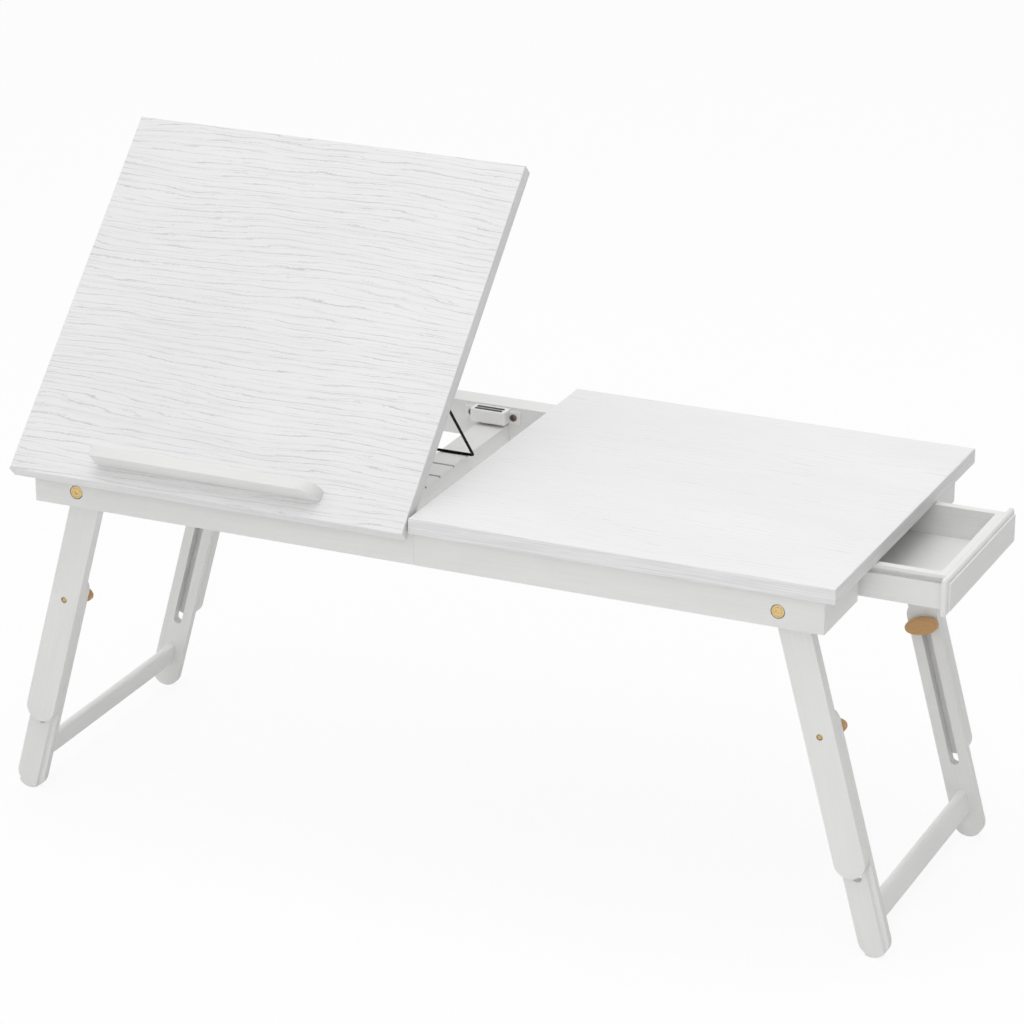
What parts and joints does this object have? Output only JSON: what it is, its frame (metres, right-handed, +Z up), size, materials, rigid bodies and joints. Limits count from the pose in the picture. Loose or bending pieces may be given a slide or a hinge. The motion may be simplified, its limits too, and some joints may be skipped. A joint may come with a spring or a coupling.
{
  "type": "laptop bed tray",
  "caption": "Folding laptop bed tray: fixed half, tilting half on a wire prop with a book stop, side drawer, and folding telescopic legs clamped by knobs.",
  "frame": {"origin": "on the floor under the middle of the whole tray's box, as it stands in use", "axes": "+X along the table towards the drawer, +Y away from the user, +Z up"},
  "size_m": [0.7534, 0.3194, 0.5091],
  "materials": {
    "board_white": "white paint with the grain showing",
    "rail_white": "satin off-white paint",
    "drawer_white": "satin off-white paint",
    "hinge_steel": "plain",
    "black_wire": "black lacquer",
    "black_steel": "blackened",
    "catch_plastic": "matte white",
    "screw_brown": "pan head",
    "brass": "satin",
    "knob_tan": "matte tan"
  },
  "bodies": {
    "frame": {"fixed_top": "board_white", "front_rail_left": "rail_white", "front_rail_right": "rail_white", "back_rail_right": "rail_white", "back_rail_left": "rail_white", "left_end_rail": "rail_white", "right_end_block_front": "rail_white", "right_end_block_back": "rail_white", "centre_rail": "rail_white", "prop_beam": "rail_white", "drawer_runner_front": "rail_white", "drawer_runner_back": "rail_white", "catch_body": "catch_plastic", "catch_plates": "black_steel", "catch_screws": "screw_brown", "hinge_right_frame_leaf": "hinge_steel", "hinge_left_frame_leaf": "hinge_steel", "hinge_right_pin": "hinge_steel", "hinge_left_pin": "hinge_steel", "pivot_screws": "brass"},
    "tilting_board": {"tilting_top": "board_white", "book_stop": "rail_white", "hinge_right_board_leaf": "hinge_steel", "hinge_left_board_leaf": "hinge_steel", "prop_bracket_right": "catch_plastic", "prop_bracket_left": "catch_plastic", "strike_plate": "hinge_steel"},
    "prop": {"prop_wire": "black_wire"},
    "drawer": {"drawer_front": "drawer_white", "drawer_side_front": "drawer_white", "drawer_side_back": "drawer_white", "drawer_inner_front": "drawer_white", "drawer_back": "drawer_white", "drawer_floor": "drawer_white"},
    "left_upper_legs": {"upper_leg_front_left": "rail_white", "upper_leg_back_left": "rail_white", "clamp_inserts_left": "brass"},
    "left_lower_legs": {"lower_leg_front_left": "rail_white", "lower_leg_back_left": "rail_white", "cross_bar_left": "rail_white"},
    "right_upper_legs": {"upper_leg_front_right": "rail_white", "upper_leg_back_right": "rail_white", "clamp_inserts_right": "brass"},
    "right_lower_legs": {"lower_leg_front_right": "rail_white", "lower_leg_back_right": "rail_white", "cross_bar_right": "rail_white"},
    "knob_front_left": {"clamp_knob_front_left": "knob_tan", "clamp_bolt_front_left": "brass"},
    "knob_front_right": {"clamp_knob_front_right": "knob_tan", "clamp_bolt_front_right": "brass"},
    "knob_back_right": {"clamp_knob_back_right": "knob_tan", "clamp_bolt_back_right": "brass"},
    "knob_back_left": {"clamp_knob_back_left": "knob_tan", "clamp_bolt_back_left": "brass"}
  },
  "joints": [
    {"name": "top_tilt", "type": "hinge", "parent": "frame", "child": "tilting_board", "pos_m": [-0.17708, -0.14115, 0.28685], "axis": [1, 0, 0], "range_deg": [-45, 0]},
    {"name": "prop_swing", "type": "hinge", "parent": "tilting_board", "child": "prop", "pos_m": [-0.06768, -0.05552, 0.36527], "axis": [1, 0, 0], "range_deg": [0, 83.1]},
    {"name": "drawer_slide", "type": "slide", "parent": "frame", "child": "drawer", "axis": [1, 0, 0], "range_m": [-0.063, 0.11]},
    {"name": "left_legs_fold", "type": "hinge", "parent": "frame", "child": "left_upper_legs", "pos_m": [-0.29513, 0.00475, 0.27145], "axis": [0, -1, 0], "range_deg": [0, 98]},
    {"name": "left_legs_extend", "type": "slide", "parent": "left_upper_legs", "child": "left_lower_legs", "axis": [0.2588, 0, 0.9659], "range_m": [0, 0.1]},
    {"name": "right_legs_fold", "type": "hinge", "parent": "frame", "child": "right_upper_legs", "pos_m": [0.27207, 0.00475, 0.27145], "axis": [0, 1, 0], "range_deg": [0, 98]},
    {"name": "right_legs_extend", "type": "slide", "parent": "right_upper_legs", "child": "right_lower_legs", "axis": [-0.2588, 0, 0.9659], "range_m": [0, 0.1]},
    {"name": "knob_turn_front_left", "type": "hinge", "parent": "left_upper_legs", "child": "knob_front_left", "pos_m": [-0.32207, -0.10005, 0.1709], "axis": [0, 1, 0], "range_deg": [0, 360]},
    {"name": "knob_turn_front_right", "type": "hinge", "parent": "right_upper_legs", "child": "knob_front_right", "pos_m": [0.29901, -0.10005, 0.1709], "axis": [0, 1, 0], "range_deg": [0, 360]},
    {"name": "knob_turn_back_right", "type": "hinge", "parent": "right_upper_legs", "child": "knob_back_right", "pos_m": [0.29901, 0.10955, 0.1709], "axis": [0, -1, 0], "range_deg": [0, 360]},
    {"name": "knob_turn_back_left", "type": "hinge", "parent": "left_upper_legs", "child": "knob_back_left", "pos_m": [-0.32207, 0.10955, 0.1709], "axis": [0, -1, 0], "range_deg": [0, 360]}
  ],
  "couplings": [
    {"joint": "prop_swing", "follows": "top_tilt", "ratio": -1.845}
  ]
}
